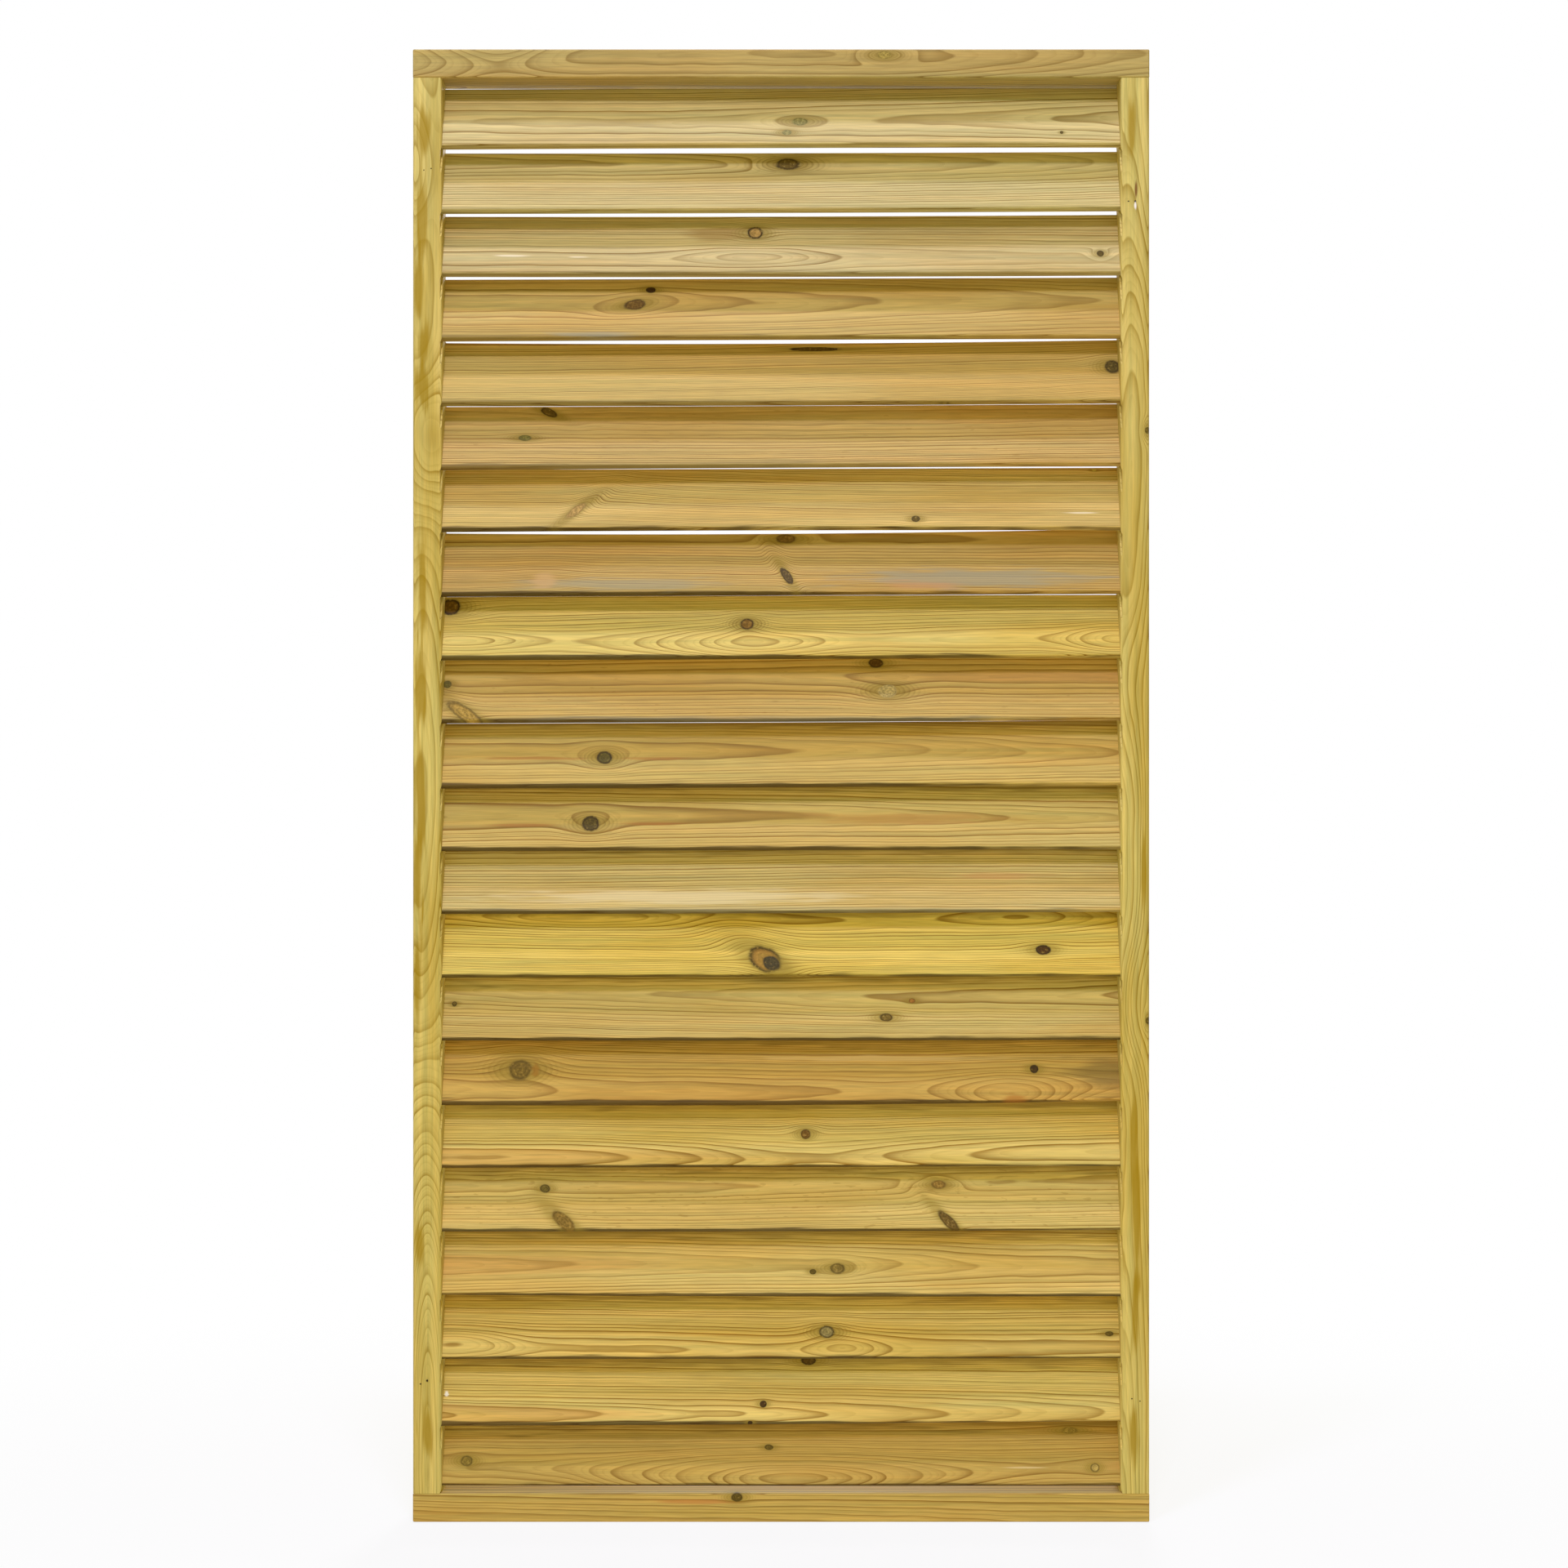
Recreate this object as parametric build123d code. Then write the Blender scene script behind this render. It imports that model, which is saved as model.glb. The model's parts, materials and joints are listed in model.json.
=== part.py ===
from build123d import *
from math import atan2, cos, degrees, radians, sin
import os

# A louvred fence panel: a frame of four timbers round a stack of leaning slats.
# Millimetres. X runs along the panel, Y from front to back, Z up from the ground.

# Panel and frame
panel_width = 900.0
panel_height = 1800.0
frame_depth = 45.0
stile_width = 35.0
rail_height = 35.0
stile_arris = 3.0  # rounding along the stiles
rail_arris = 2.0  # rounding along the rails
rail_end_easing = 1.0  # flat planed round the rails' sawn ends

# Slats
slat_width = 83.0
slat_thickness = 10.0
slat_arris = 2.0  # rounding along the slats
slat_lean = 21.0  # degrees that a slat's top leans back from upright
slat_overlap = 3.0  # height by which a slat covers the next one down

# How far up its groove each slat was set at its left and right end, top slat first
slat_slips = [
    (0.5, 3.5), (-0.5, 3.5), (0.5, 2.5), (-1.0, 3.0), (-2.5, 1.5), (-3.0, 2.5),
    (-0.5, 2.0), (-2.0, 2.0), (-2.0, 2.0), (-1.0, 3.0), (-3.0, 1.5), (-1.5, 1.0),
    (-0.5, 2.5), (-0.5, 1.0), (0.5, 1.5), (-0.5, 4.5), (0.5, 2.5), (0.5, 2.5),
    (1.0, -1.0), (0.5, 1.5), (-3.5, 2.5), (1.5, 1.0),
]

# Slanted grooves across the stiles' inner faces, one for each end of each slat
groove_depth = 2.0
groove_side_clearance = 0.2  # at each face of a slat
slat_end_clearance = 0.5  # between a slat's end and the floor of its groove

# Staples down through the rails into the stiles' ends, two at each corner
staple_crown = 10.0  # overall width
staple_wire = 1.8
staple_leg = 75.0
staple_spacing = 22.0  # between the two staples of a corner, front to back

# Flat-wire brads through the stiles' outer faces, one into each end of each slat
brad_width = 1.6
brad_thickness = 1.4
brad_length = 64.0

# Worked out from the sizes above
lean = radians(slat_lean)
opening_width = panel_width - 2 * stile_width
opening_height = panel_height - 2 * rail_height
stile_middle = (panel_width - stile_width) / 2
slat_length = opening_width + 2 * (groove_depth - slat_end_clearance)
slat_rise = slat_width * cos(lean) + slat_thickness * sin(lean)
slat_pitch = slat_rise - slat_overlap
slat_count = int((opening_height - slat_rise) / slat_pitch) + 1
top_slat_middle = (panel_height + slat_pitch * (slat_count - 1)) / 2
groove_width = slat_thickness + 2 * groove_side_clearance
groove_run = frame_depth / sin(lean) + 2 * groove_width


def section_plane(index, x):
    """The plane across a slat's groove: its X runs back through the slat, its Y up the slope."""
    middle = (x, 0, top_slat_middle - slat_pitch * index)
    return Plane(origin=middle, x_dir=(0, cos(lean), -sin(lean)), z_dir=(1, 0, 0))


def make_staple():
    """A staple that points down, with the top of its crown along X at the origin."""
    outer = staple_crown / 2
    inner = outer - staple_wire
    outline = Polyline(
        (-outer, 0),
        (outer, 0),
        (outer, -staple_leg),
        (inner, -staple_leg),
        (inner, -staple_wire),
        (-inner, -staple_wire),
        (-inner, -staple_leg),
        (-outer, -staple_leg),
        close=True,
    )
    return extrude(Plane.XZ * make_face(outline), staple_wire / 2, both=True)


def corner_places(height):
    """Where the four staples of one rail go in, flush with its face at that height."""
    return [
        Pos(side * stile_middle, row * staple_spacing / 2, height)
        for side in (-1, 1)
        for row in (-1, 1)
    ]


def make_brad(index, side):
    """The brad driven in at one stile's outer face, flush with it, towards the end of a slat."""
    head = section_plane(index, side * panel_width / 2)
    return extrude(head * Rectangle(brad_thickness, brad_width), brad_length, dir=(-side, 0, 0))


def make_slat(index):
    """One board with rounded edges, turned in its own plane by the slips of its two ends."""
    left, right = slat_slips[index % len(slat_slips)]
    section = RectangleRounded(slat_thickness, slat_width, slat_arris)
    board = extrude(section, slat_length / 2, both=True)
    turn = degrees(atan2(right - left, opening_width))
    board = section_plane(index, 0) * Pos(0, (left + right) / 2, 0) * Rot(-turn, 0, 0) * board
    return board - [make_brad(index, side) for side in (-1, 1)]


def make_rail(middle_height, staples):
    """A full-width rail with rounded edges and eased ends, over or under the stiles."""
    section = Plane.YZ * RectangleRounded(frame_depth, rail_height, rail_arris)
    rail = extrude(section, panel_width / 2, both=True)
    rail = chamfer(rail.faces().filter_by(Axis.X).edges(), rail_end_easing)
    return Pos(0, 0, middle_height) * rail - staples


def make_groove(index, side):
    """The slanted groove for one end of a slat, cut outwards and run out at front and back."""
    mouth = section_plane(index, side * opening_width / 2) * Rectangle(groove_width, groove_run)
    return extrude(mouth, groove_depth, dir=(side, 0, 0))


def make_stile(side, fixings):
    """An upright between the rails, with a groove for each slat and the holes of its fixings."""
    section = RectangleRounded(stile_width, frame_depth, stile_arris)
    stile = Pos(side * stile_middle, 0, rail_height) * extrude(section, opening_height)
    return stile - [make_groove(index, side) for index in range(slat_count)] - fixings


top_staples = [place * make_staple() for place in corner_places(panel_height)]
bottom_staples = [place * Rot(180, 0, 0) * make_staple() for place in corner_places(0)]
left_brads = [make_brad(index, -1) for index in range(slat_count)]
right_brads = [make_brad(index, 1) for index in range(slat_count)]

nodes = {
    "top_rail": make_rail(panel_height - rail_height / 2, top_staples),
    "bottom_rail": make_rail(rail_height / 2, bottom_staples),
    "left_stile": make_stile(-1, left_brads + top_staples + bottom_staples),
    "right_stile": make_stile(1, right_brads + top_staples + bottom_staples),
    "top_rail_staples": Compound(top_staples),
    "bottom_rail_staples": Compound(bottom_staples),
    "left_slat_brads": Compound(left_brads),
    "right_slat_brads": Compound(right_brads),
}
for index in range(slat_count):
    nodes[f"slat_{index + 1:02d}"] = make_slat(index)

os.makedirs("parts", exist_ok=True)
for name, solid in nodes.items():
    export_step(solid, f"parts/{name}.step")
print(len(nodes), "nodes,", slat_count, "slats")
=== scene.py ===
# %% [markdown]
# # A louvred fence panel
# The panel is a frame of two rails and two stiles round 22 leaning slats, all of planed,
# pressure-treated pine. The CAD model gives every timber its size and place. This file
# gives them their looks: slats with the small bows and slips of real boards, and a pine
# that is worked out from growth rings and knots, so that every face of a board agrees.

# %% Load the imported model
import json
from math import pi, radians

import bpy
import numpy as np
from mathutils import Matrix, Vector

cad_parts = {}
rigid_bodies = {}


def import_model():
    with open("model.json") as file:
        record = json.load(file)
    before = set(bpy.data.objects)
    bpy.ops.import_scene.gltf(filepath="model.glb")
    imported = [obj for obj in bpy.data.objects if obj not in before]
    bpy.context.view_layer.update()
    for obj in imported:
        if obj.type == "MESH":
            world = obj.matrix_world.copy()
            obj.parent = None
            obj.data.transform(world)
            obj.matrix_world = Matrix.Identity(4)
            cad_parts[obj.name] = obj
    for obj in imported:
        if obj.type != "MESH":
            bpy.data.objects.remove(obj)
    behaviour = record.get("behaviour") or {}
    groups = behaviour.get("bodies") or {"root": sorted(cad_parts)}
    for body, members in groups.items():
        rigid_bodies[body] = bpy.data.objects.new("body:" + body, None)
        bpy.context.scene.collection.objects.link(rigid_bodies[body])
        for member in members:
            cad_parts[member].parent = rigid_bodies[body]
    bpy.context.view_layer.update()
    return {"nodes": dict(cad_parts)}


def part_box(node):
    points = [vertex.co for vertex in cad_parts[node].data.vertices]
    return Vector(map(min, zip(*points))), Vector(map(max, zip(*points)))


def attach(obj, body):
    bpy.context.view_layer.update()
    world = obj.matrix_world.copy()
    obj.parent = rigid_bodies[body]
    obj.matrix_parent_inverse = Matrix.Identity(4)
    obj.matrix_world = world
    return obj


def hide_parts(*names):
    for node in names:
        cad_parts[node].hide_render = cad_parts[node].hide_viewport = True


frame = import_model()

mm = 0.001

# %% [markdown]
# ## Camera
# The panel was taken square on, from about two and two-thirds metres, at half its height.
# Its upright edges are parallel in the picture, so the camera is level and needs no shift.

# %% Camera and view
scene = bpy.context.scene
scene.view_settings.view_transform = "Standard"
camera = bpy.data.objects.new("camera", bpy.data.cameras.new("camera"))
camera.location = (3.5 * mm, -2672.5 * mm, 902 * mm)
camera.rotation_euler = (pi / 2, 0, 0)
camera.data.lens = 49.8
scene.collection.objects.link(camera)
scene.camera = camera
print("camera", round(-camera.location.y, 3), "m in front of the panel's middle")

# %% [markdown]
# ## Nodes from arithmetic
# A procedural timber takes a lot of small sums. They could be clicked together in the shader
# editor, but a Math node for each of them is slow to read. Two helpers add a node and fill its
# inputs. The class after them holds one socket, and each + - * / on it adds the Math node, so
# that the formulas further down look like formulas.


# %% Helpers that add shader nodes
def feed(tree, place, value):
    """Fills an input: a field or a socket is linked to it, and a plain value is typed in."""
    if isinstance(value, Field):
        tree.links.new(value.socket, place)
    elif isinstance(value, bpy.types.NodeSocket):
        tree.links.new(value, place)
    else:
        place.default_value = value


def add_node(tree, kind, inputs, **settings):
    """A new node of a tree, with its settings and its inputs by name or number."""
    made = tree.nodes.new("ShaderNode" + kind)
    for name, value in settings.items():
        setattr(made, name, value)
    for name, value in inputs.items():
        feed(tree, made.inputs[name], value)
    return made


# %% A number that changes over a surface
class Field:
    """A number that changes over a surface. Arithmetic on it adds Math nodes."""

    def __init__(self, tree, socket):
        self.tree = tree
        self.socket = socket

    def calc(self, operation, *others):
        """One Math node on this field and up to two others."""
        inputs = dict(enumerate((self, *others)))
        made = add_node(self.tree, "Math", inputs, operation=operation)
        return Field(self.tree, made.outputs[0])

    def __add__(self, other):
        return self.calc("ADD", other)

    def __sub__(self, other):
        return self.calc("SUBTRACT", other)

    def __rsub__(self, other):
        return self.calc("MULTIPLY_ADD", -1.0, other)

    def __mul__(self, other):
        return self.calc("MULTIPLY", other)

    def __truediv__(self, other):
        return self.calc("DIVIDE", other)

    def bell(self):
        """1 where the field is 0, falling to nothing either side: e to minus its square."""
        return (self * self * -1.0).calc("EXPONENT")

    def ramp(self, start, end):
        """0 up to start, 1 from end on, and a smooth S between them."""
        inputs = {"Value": self, "From Min": start, "From Max": end}
        made = add_node(self.tree, "MapRange", inputs, interpolation_type="SMOOTHSTEP")
        return Field(self.tree, made.outputs[0])


# %% [markdown]
# Vectors, noise, mixed colours and node groups get a helper each. A group is made once and used
# by every timber, so a change to its formula reaches all of them.


# %% Helpers for vectors, noise, colours and groups
def vector(tree, operation, *values):
    """One Vector Math node on sockets or triples."""
    return add_node(tree, "VectorMath", dict(enumerate(values)), operation=operation).outputs[0]


def split(tree, place):
    """The x, y and z of a vector, as three fields."""
    parts = add_node(tree, "SeparateXYZ", {0: place}).outputs
    return [Field(tree, part) for part in parts]


def noise(tree, place, scale, seed, detail=1.0):
    """Smooth noise at a place stretched by a triple and moved by a seed: value and colour."""
    moved = vector(tree, "MULTIPLY_ADD", place, scale, seed)
    made = add_node(tree, "TexNoise", {"Vector": moved, "Scale": 1.0, "Detail": detail})
    return Field(tree, made.outputs["Fac"]), made.outputs["Color"]


def blend(tree, share, first, second, blend_type="MIX"):
    """One Mix node on two colours."""
    inputs = {0: share, 6: first, 7: second}
    made = add_node(tree, "Mix", inputs, data_type="RGBA", blend_type=blend_type)
    return made.outputs[2]


def new_group(name, inputs, outputs):
    """An empty node group: its tree, its given sockets by name and its results by name."""
    tree = bpy.data.node_groups.new(name, "ShaderNodeTree")
    for title, kind in inputs.items():
        tree.interface.new_socket(title, in_out="INPUT", socket_type="NodeSocket" + kind)
    for title, kind in outputs.items():
        tree.interface.new_socket(title, in_out="OUTPUT", socket_type="NodeSocket" + kind)
    given = tree.nodes.new("NodeGroupInput").outputs
    result = tree.nodes.new("NodeGroupOutput").inputs
    print("group", name, "takes", len(inputs), "and gives", len(outputs))
    return tree, given, result


def srgb(red, green, blue):
    """A colour as a painter reads it, from 0 to 255, turned into Blender's linear numbers."""
    share = np.array([red, green, blue]) / 255
    linear = np.where(share > 0.04045, ((share + 0.055) / 1.055) ** 2.4, share / 12.92)
    return (*linear.tolist(), 1.0)


# %% [markdown]
# ## Growth rings
# A tree grows a pale, soft layer each spring and a thin, dark, hard one each summer. A board
# is a slice of these nested tubes, so its lines are where its faces cut them. The group finds
# how far a point is from the pith, the tree's middle, counts the rings out to there, and gives
# the dark line at the end of each, with fainter lines between. Rings crowd together further
# out. The pith leans and wanders, and that draws the pointed arches of a flat-sawn board. An
# image of wood would repeat and would not run round the edges.

# %% Growth rings
tree, given, result = new_group(
    "Growth rings",
    {
        "Grain": "Vector", "Pith": "Vector", "Taper": "Vector", "Wander": "Float",
        "Ring width": "Float", "Crowding": "Float", "Lift": "Float", "Seed": "Float",
    },
    {"Latewood": "Float", "Radius": "Float"},
)
along, _, _ = split(tree, given["Grain"])
_, drift = noise(tree, given["Grain"], (1.7, 4.0, 4.0), given["Seed"], 0.0)
drift = vector(tree, "SUBTRACT", drift, (0.5, 0.5, 0.5))
drift = vector(tree, "MULTIPLY", drift, given["Wander"])
shake, _ = noise(tree, given["Grain"], (9.0, 30.0, 30.0), given["Seed"], 2.0)
lean = vector(tree, "MULTIPLY", given["Taper"], along.socket)
place = vector(tree, "SUBTRACT", given["Grain"], vector(tree, "ADD", given["Pith"], lean))
_, through, up = split(tree, vector(tree, "ADD", place, drift))
radius = (through * through + up * up).calc("SQRT") + (shake - 0.5) * (3 * mm)
crowd = radius * given["Crowding"] + 1.0
count = radius / given["Ring width"] * crowd + given["Lift"]
uneven = add_node(
    tree, "TexNoise",
    {"W": count * 0.4 + given["Seed"], "Scale": 1.0, "Detail": 0.0}, noise_dimensions="1D",
)
count = count + Field(tree, uneven.outputs["Fac"]) * 1.4
share = count.calc("FRACT")
year = add_node(
    tree, "TexWhiteNoise", {"W": count.calc("FLOOR") + given["Seed"]}, noise_dimensions="1D"
)
fine = (count * 3.0).calc("FRACT").ramp(0.5, 0.95) * 0.2
line = share.ramp(0.1, 0.9) * 0.25 + share.ramp(0.6, 0.92) * 0.75
line = line * (1.0 - share.ramp(0.94, 1.0))
steep = (up / radius).calc("ABSOLUTE").ramp(0.0, 0.7) * 0.35 + 0.65
strong = Field(tree, year.outputs["Value"]) * 0.55 + 0.45
feed(tree, result["Latewood"], (line * strong + fine) * steep)
feed(tree, result["Radius"], radius)

# %% [markdown]
# ## Knots
# A knot is a branch that the trunk grew round. The lines part to go past it, and close above
# it. The first group bends the grain for one knot: it pulls the places that the rings are
# counted at towards the knot, so that the lines move away from it, and lifts the count, so
# that some close into ovals. It also gives the distance in knot radii, 1 at the knot's edge,
# and the same for the longer eye. Each board chains as many as it has.

# %% Grain round a knot
tree, given, result = new_group(
    "Grain round a knot",
    {
        "Board": "Vector", "Grain": "Vector", "Lift": "Float", "Rough": "Float",
        "Centre": "Vector", "Radius": "Vector", "Turn": "Float", "Swirl": "Float",
        "Ovals": "Float",
    },
    {"Grain": "Vector", "Lift": "Float", "Distance": "Float", "Eye": "Float"},
)


def length(tree, place):
    """How long a vector is."""
    made = add_node(tree, "VectorMath", {0: place}, operation="LENGTH")
    return Field(tree, made.outputs["Value"])


offset = vector(tree, "SUBTRACT", given["Board"], given["Centre"])
turned = add_node(
    tree, "VectorRotate", {"Vector": offset, "Angle": given["Turn"]}, rotation_type="Y_AXIS"
).outputs[0]
radii = vector(tree, "DIVIDE", turned, given["Radius"])
ragged = Field(tree, given["Rough"]) * 0.3 + 0.85
feed(tree, result["Distance"], length(tree, radii) * ragged)
feed(tree, result["Eye"], length(tree, vector(tree, "MULTIPLY", radii, (0.5, 1.0, 0.85))))
near = length(tree, vector(tree, "MULTIPLY", radii, (0.3, 1.0, 0.5))).bell()
_, _, above = split(tree, offset)
pull = add_node(tree, "CombineXYZ", {"Z": near * above * given["Swirl"]}).outputs[0]
feed(tree, result["Grain"], vector(tree, "SUBTRACT", given["Grain"], pull))
feed(tree, result["Lift"], near * given["Ovals"] + given["Lift"])

# %% [markdown]
# The second group paints the knot by that distance: a heart with its own small rings and
# chips, a dark line of bark, and round it a resin-soaked eye, drawn out along the grain, with
# fine lines in it. It is painted over the wood, and so keeps its shape whatever the rings do.

# %% Paint of a knot
tree, given, result = new_group(
    "Knot",
    {
        "Colour": "Color", "Distance": "Float", "Eye": "Float", "Rough": "Float",
        "Mottle": "Float", "Heart": "Color", "Bark": "Float", "Lines": "Float",
    },
    {"Colour": "Color"},
)
distance = Field(tree, given["Distance"])
eye = Field(tree, given["Eye"])
rough = Field(tree, given["Rough"])
mottle = Field(tree, given["Mottle"])
soak = ((eye - 0.7) / 0.6).bell() * 0.55
lines = (eye * 4.0 + rough * 0.6).calc("FRACT").ramp(0.35, 0.9) * ((eye - 1.0) / 0.7).bell()
soaked = blend(tree, soak, given["Colour"], srgb(150, 128, 46))
lined = blend(tree, lines * given["Lines"], soaked, srgb(104, 76, 10))
dark = blend(tree, 1.0, given["Heart"], (0.42, 0.42, 0.36, 1.0), "MULTIPLY")
rings = (distance * 3.0 + mottle).calc("FRACT").ramp(0.4, 0.9)
heart = blend(tree, rings * 0.35 + mottle.ramp(0.65, 0.4) * 0.5, given["Heart"], dark)
chips = mottle.ramp(0.6, 0.8) * 0.4
core = 1.0 - distance.ramp(0.85, 1.05)
painted = blend(tree, core, lined, blend(tree, chips, heart, given["Colour"]))
rim = ((distance - 0.94) / 0.16).bell() * (mottle.ramp(0.3, 0.5) * 0.5 + 0.5) * given["Bark"]
feed(tree, result["Colour"], blend(tree, rim, painted, srgb(52, 38, 8)))

# %% [markdown]
# ## Patches
# The treatment and the yard leave marks: blue-grey and olive stain, a resin streak beside a
# knot, a pale scratch, the bruise of a staple. Painted shade along the slats' edges is made the
# same way. Each is a soft-edged ellipsoid of colour in the board, broken up along the grain by
# noise, and a mark can lie on one face or go through.

# %% Patch of colour
tree, given, result = new_group(
    "Patch",
    {
        "Colour": "Color", "Board": "Vector", "Rough": "Float", "Centre": "Vector",
        "Radius": "Vector", "Tint": "Color", "Amount": "Float",
    },
    {"Colour": "Color"},
)
offset = vector(tree, "SUBTRACT", given["Board"], given["Centre"])
distance = length(tree, vector(tree, "DIVIDE", offset, given["Radius"]))
ragged = distance * (Field(tree, given["Rough"]) * 1.6 + 0.2)
share = (1.0 - ragged.ramp(0.4, 1.1)) * given["Amount"]
feed(tree, result["Colour"], blend(tree, share, given["Colour"], given["Tint"]))

# %% [markdown]
# ## Planed pine
# The sapwood is straw to gold and the summer lines are tan or olive. Where the pith is near,
# the heartwood is rosier. The treatment leaves olive patches that run with the grain. Fine
# fibres, streaks and short resin flecks break up what is left. One group turns the rings into
# that colour, a roughness and a height in metres for the Bump node. The height leaves out the
# rings: they stand up by a tenth of a millimetre, and Bump would count them three times over.

# %% Planed pine
tree, given, result = new_group(
    "Planed pine",
    {
        "Board": "Vector", "Latewood": "Float", "Radius": "Float", "Seed": "Float",
        "Sapwood": "Color", "Summer": "Color", "Heartwood": "Color", "Heart radius": "Float",
        "Stain": "Color", "Stained": "Float", "Contrast": "Float", "Flecks": "Float",
    },
    {"Colour": "Color", "Roughness": "Float", "Height": "Float"},
)
latewood = Field(tree, given["Latewood"])
patches, _ = noise(tree, given["Board"], (2.6, 12.0, 22.0), given["Seed"], 2.0)
fibre, _ = noise(tree, given["Board"], (28.0, 700.0, 700.0), given["Seed"])
streak, _ = noise(tree, given["Board"], (3.0, 170.0, 170.0), given["Seed"])
dashes, _ = noise(tree, given["Board"], (75.0, 400.0, 400.0), given["Seed"], 0.0)
heart = 1.0 - (Field(tree, given["Radius"]) / given["Heart radius"]).ramp(0.9, 1.08)
ground = blend(tree, heart, given["Sapwood"], given["Heartwood"])
ground = blend(tree, patches.ramp(0.42, 0.66) * given["Stained"], ground, given["Stain"])
lined = blend(tree, latewood * given["Contrast"], ground, given["Summer"])
tone = fibre * 0.4 + streak * 0.4 + patches * 0.16 + 0.52
pink = (streak - 0.5) * 0.16 + 1.0
blue = (patches - 0.5) * 0.5 + 1.0
shade = add_node(tree, "CombineXYZ", {"X": tone * pink, "Y": tone, "Z": tone * blue}).outputs[0]
toned = blend(tree, 1.0, lined, shade, "MULTIPLY")
flecked = dashes.ramp(0.74, 0.8) * given["Flecks"]
feed(tree, result["Colour"], blend(tree, flecked, toned, given["Summer"]))
feed(tree, result["Roughness"], fibre * 0.16 - latewood * 0.1 + 0.5)
feed(tree, result["Height"], fibre * (0.08 * mm) + streak * (0.1 * mm))


# %% [markdown]
# ## What a board carries
# A branch goes right through a thin board, so its knot shows on both faces, and in a thick
# timber it can end inside. A knot that the saw just missed leaves only loops. Each is a short
# list of values in mm, written with the board it belongs to, and the same goes for patches.


# %% Values of knots and patches
through_board = 1000  # mm, deeper than any timber here


def knot(
    x, up, along, high, swirl=0.6, ovals=0.0, bark=0.6, lines=0.2, heart=(112, 92, 28), turn=0,
    face=0.0, depth=through_board, paint=True,
):
    """The values of one knot: its place on the board's face and its half sizes, in mm, its turn
    on the face in degrees, and shares from 0 to 1 for what is drawn in it and round it. A knot
    goes through the board unless face and depth keep it to one side."""
    return dict(
        centre=(x * mm, face * mm, up * mm), radius=(along * mm, depth * mm, high * mm),
        swirl=swirl, ovals=ovals, bark=bark, lines=lines, heart=srgb(*heart),
        turn=radians(-turn), paint=paint,
    )


def loops(x, up, along, high, ovals):
    """Rings that close round a knot which the saw just missed: nothing is painted there."""
    return knot(x, up, along, high, swirl=0.0, ovals=ovals, paint=False)


def patch(x, up, along, high, tint, amount=0.6, face=0.0, depth=through_board):
    """The values of one patch of colour, in mm. Face and depth keep it to one side."""
    return dict(
        centre=(x * mm, face * mm, up * mm), radius=(along * mm, depth * mm, high * mm),
        tint=srgb(*tint), amount=amount,
    )


# %% [markdown]
# ## A timber's material
# Rings are counted in the board's own directions: x along it, y through it and z up its face.
# A Mapping node of the Texture type takes Object coordinates there from the board's middle
# and its turn. The knots then bend the grain one after another, the rings are counted in the
# bent grain, and patches and knots are painted over the wood.


# %% Material of a timber
def place_group(tree, name, **inputs):
    """One use of a node group in a material, with its inputs filled: its outputs."""
    made = tree.nodes.new("ShaderNodeGroup")
    made.node_tree = bpy.data.node_groups[name]
    for title, value in inputs.items():
        feed(tree, made.inputs[title.replace("_", " ")], value)
    return made.outputs


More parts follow.
